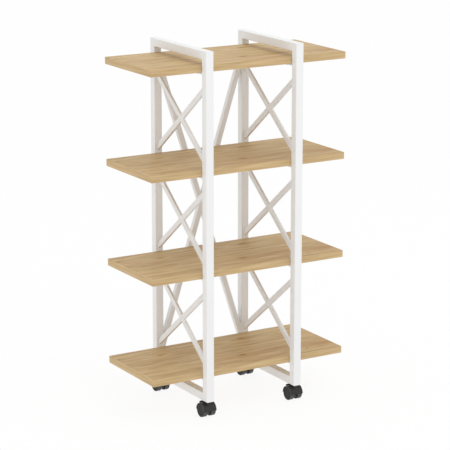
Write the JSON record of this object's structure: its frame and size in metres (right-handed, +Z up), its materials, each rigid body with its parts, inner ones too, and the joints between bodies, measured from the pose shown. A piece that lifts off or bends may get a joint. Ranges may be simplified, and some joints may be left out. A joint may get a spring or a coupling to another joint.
{
  "type": "rolling shelving unit",
  "caption": "open storage rack on swivelling casters, wide oak-effect boards carried inside slim white square-tube side frames with crossed bracing",
  "frame": {"origin": "on the floor, in the middle of the frame's plan, halfway between the four caster stems", "axes": "+Z up, front towards -Y, left side towards -X; the boards' length is along X"},
  "size_m": [0.8, 0.4, 1.33],
  "materials": {
    "white_powder_coat": "satin white powder coat",
    "oak_board": "matt oak-effect surface with the grain along the length",
    "oak_edge_band": "matt oak-effect edge band",
    "black_wheel": "matt black moulded plastic",
    "black_hood": "matt black moulded plastic, paler at the rims",
    "black_pedal": "matt deep black moulded plastic",
    "black_plated_steel": "black zinc plating",
    "zinc_steel": "bright zinc plating"
  },
  "bodies": {
    "frame": {"back_brace_end_plates": "white_powder_coat", "back_brace_long_bar": "white_powder_coat", "back_brace_rivet_nuts": "zinc_steel", "back_brace_screws": "zinc_steel", "back_brace_short_bars": "white_powder_coat", "caster_rivet_nuts": "zinc_steel", "caster_stem_clips": "zinc_steel", "caster_stems": "black_plated_steel", "left_bottom_rail": "white_powder_coat", "left_brace_1_long_bar": "white_powder_coat", "left_brace_1_short_bars": "white_powder_coat", "left_brace_2_long_bar": "white_powder_coat", "left_brace_2_short_bars": "white_powder_coat", "left_brace_3_long_bar": "white_powder_coat", "left_brace_3_short_bars": "white_powder_coat", "left_front_upright": "white_powder_coat", "left_rear_upright": "white_powder_coat", "left_shelf_rails": "white_powder_coat", "left_top_rail": "white_powder_coat", "right_bottom_rail": "white_powder_coat", "right_brace_1_long_bar": "white_powder_coat", "right_brace_1_short_bars": "white_powder_coat", "right_brace_2_long_bar": "white_powder_coat", "right_brace_2_short_bars": "white_powder_coat", "right_brace_3_long_bar": "white_powder_coat", "right_brace_3_short_bars": "white_powder_coat", "right_front_upright": "white_powder_coat", "right_rear_upright": "white_powder_coat", "right_shelf_rails": "white_powder_coat", "right_top_rail": "white_powder_coat", "shelf_1_board": "oak_board", "shelf_1_edge_bands": "oak_edge_band", "shelf_2_board": "oak_board", "shelf_2_edge_bands": "oak_edge_band", "shelf_3_board": "oak_board", "shelf_3_edge_bands": "oak_edge_band", "shelf_4_board": "oak_board", "shelf_4_edge_bands": "oak_edge_band", "shelf_screws": "zinc_steel"},
    "front_left_swivel": {"front_left_caster_hood": "black_hood", "front_left_caster_axle": "zinc_steel"},
    "front_left_left_wheel": {"front_left_caster_left_wheel": "black_wheel"},
    "front_left_right_wheel": {"front_left_caster_right_wheel": "black_wheel"},
    "front_left_brake": {"front_left_caster_brake_pedal": "black_pedal"},
    "front_right_swivel": {"front_right_caster_hood": "black_hood", "front_right_caster_axle": "zinc_steel"},
    "front_right_left_wheel": {"front_right_caster_left_wheel": "black_wheel"},
    "front_right_right_wheel": {"front_right_caster_right_wheel": "black_wheel"},
    "front_right_brake": {"front_right_caster_brake_pedal": "black_pedal"},
    "rear_left_swivel": {"rear_left_caster_hood": "black_hood", "rear_left_caster_axle": "zinc_steel"},
    "rear_left_left_wheel": {"rear_left_caster_left_wheel": "black_wheel"},
    "rear_left_right_wheel": {"rear_left_caster_right_wheel": "black_wheel"},
    "rear_right_swivel": {"rear_right_caster_hood": "black_hood", "rear_right_caster_axle": "zinc_steel"},
    "rear_right_left_wheel": {"rear_right_caster_left_wheel": "black_wheel"},
    "rear_right_right_wheel": {"rear_right_caster_right_wheel": "black_wheel"}
  },
  "joints": [
    {"name": "front_left_caster_swivel", "type": "hinge", "parent": "frame", "child": "front_left_swivel", "pos_m": [-0.185, -0.185, 0.045], "axis": [0, 0, 1], "continuous": true},
    {"name": "front_left_left_wheel_spin", "type": "hinge", "parent": "front_left_swivel", "child": "front_left_left_wheel", "pos_m": [-0.185, -0.17, 0.025], "axis": [1, 0, 0], "continuous": true},
    {"name": "front_left_right_wheel_spin", "type": "hinge", "parent": "front_left_swivel", "child": "front_left_right_wheel", "pos_m": [-0.185, -0.17, 0.025], "axis": [1, 0, 0], "continuous": true},
    {"name": "front_left_brake_press", "type": "hinge", "parent": "front_left_swivel", "child": "front_left_brake", "pos_m": [-0.185, -0.164, 0.03973], "axis": [-1, 0, 0], "range_deg": [0, 12]},
    {"name": "front_right_caster_swivel", "type": "hinge", "parent": "frame", "child": "front_right_swivel", "pos_m": [0.185, -0.185, 0.045], "axis": [0, 0, 1], "continuous": true},
    {"name": "front_right_left_wheel_spin", "type": "hinge", "parent": "front_right_swivel", "child": "front_right_left_wheel", "pos_m": [0.185, -0.17, 0.025], "axis": [1, 0, 0], "continuous": true},
    {"name": "front_right_right_wheel_spin", "type": "hinge", "parent": "front_right_swivel", "child": "front_right_right_wheel", "pos_m": [0.185, -0.17, 0.025], "axis": [1, 0, 0], "continuous": true},
    {"name": "front_right_brake_press", "type": "hinge", "parent": "front_right_swivel", "child": "front_right_brake", "pos_m": [0.185, -0.164, 0.03973], "axis": [-1, 0, 0], "range_deg": [0, 12]},
    {"name": "rear_left_caster_swivel", "type": "hinge", "parent": "frame", "child": "rear_left_swivel", "pos_m": [-0.185, 0.185, 0.045], "axis": [0, 0, 1], "continuous": true},
    {"name": "rear_left_left_wheel_spin", "type": "hinge", "parent": "rear_left_swivel", "child": "rear_left_left_wheel", "pos_m": [-0.185, 0.17, 0.025], "axis": [1, 0, 0], "continuous": true},
    {"name": "rear_left_right_wheel_spin", "type": "hinge", "parent": "rear_left_swivel", "child": "rear_left_right_wheel", "pos_m": [-0.185, 0.17, 0.025], "axis": [1, 0, 0], "continuous": true},
    {"name": "rear_right_caster_swivel", "type": "hinge", "parent": "frame", "child": "rear_right_swivel", "pos_m": [0.185, 0.185, 0.045], "axis": [0, 0, 1], "continuous": true},
    {"name": "rear_right_left_wheel_spin", "type": "hinge", "parent": "rear_right_swivel", "child": "rear_right_left_wheel", "pos_m": [0.185, 0.17, 0.025], "axis": [1, 0, 0], "continuous": true},
    {"name": "rear_right_right_wheel_spin", "type": "hinge", "parent": "rear_right_swivel", "child": "rear_right_right_wheel", "pos_m": [0.185, 0.17, 0.025], "axis": [1, 0, 0], "continuous": true}
  ]
}
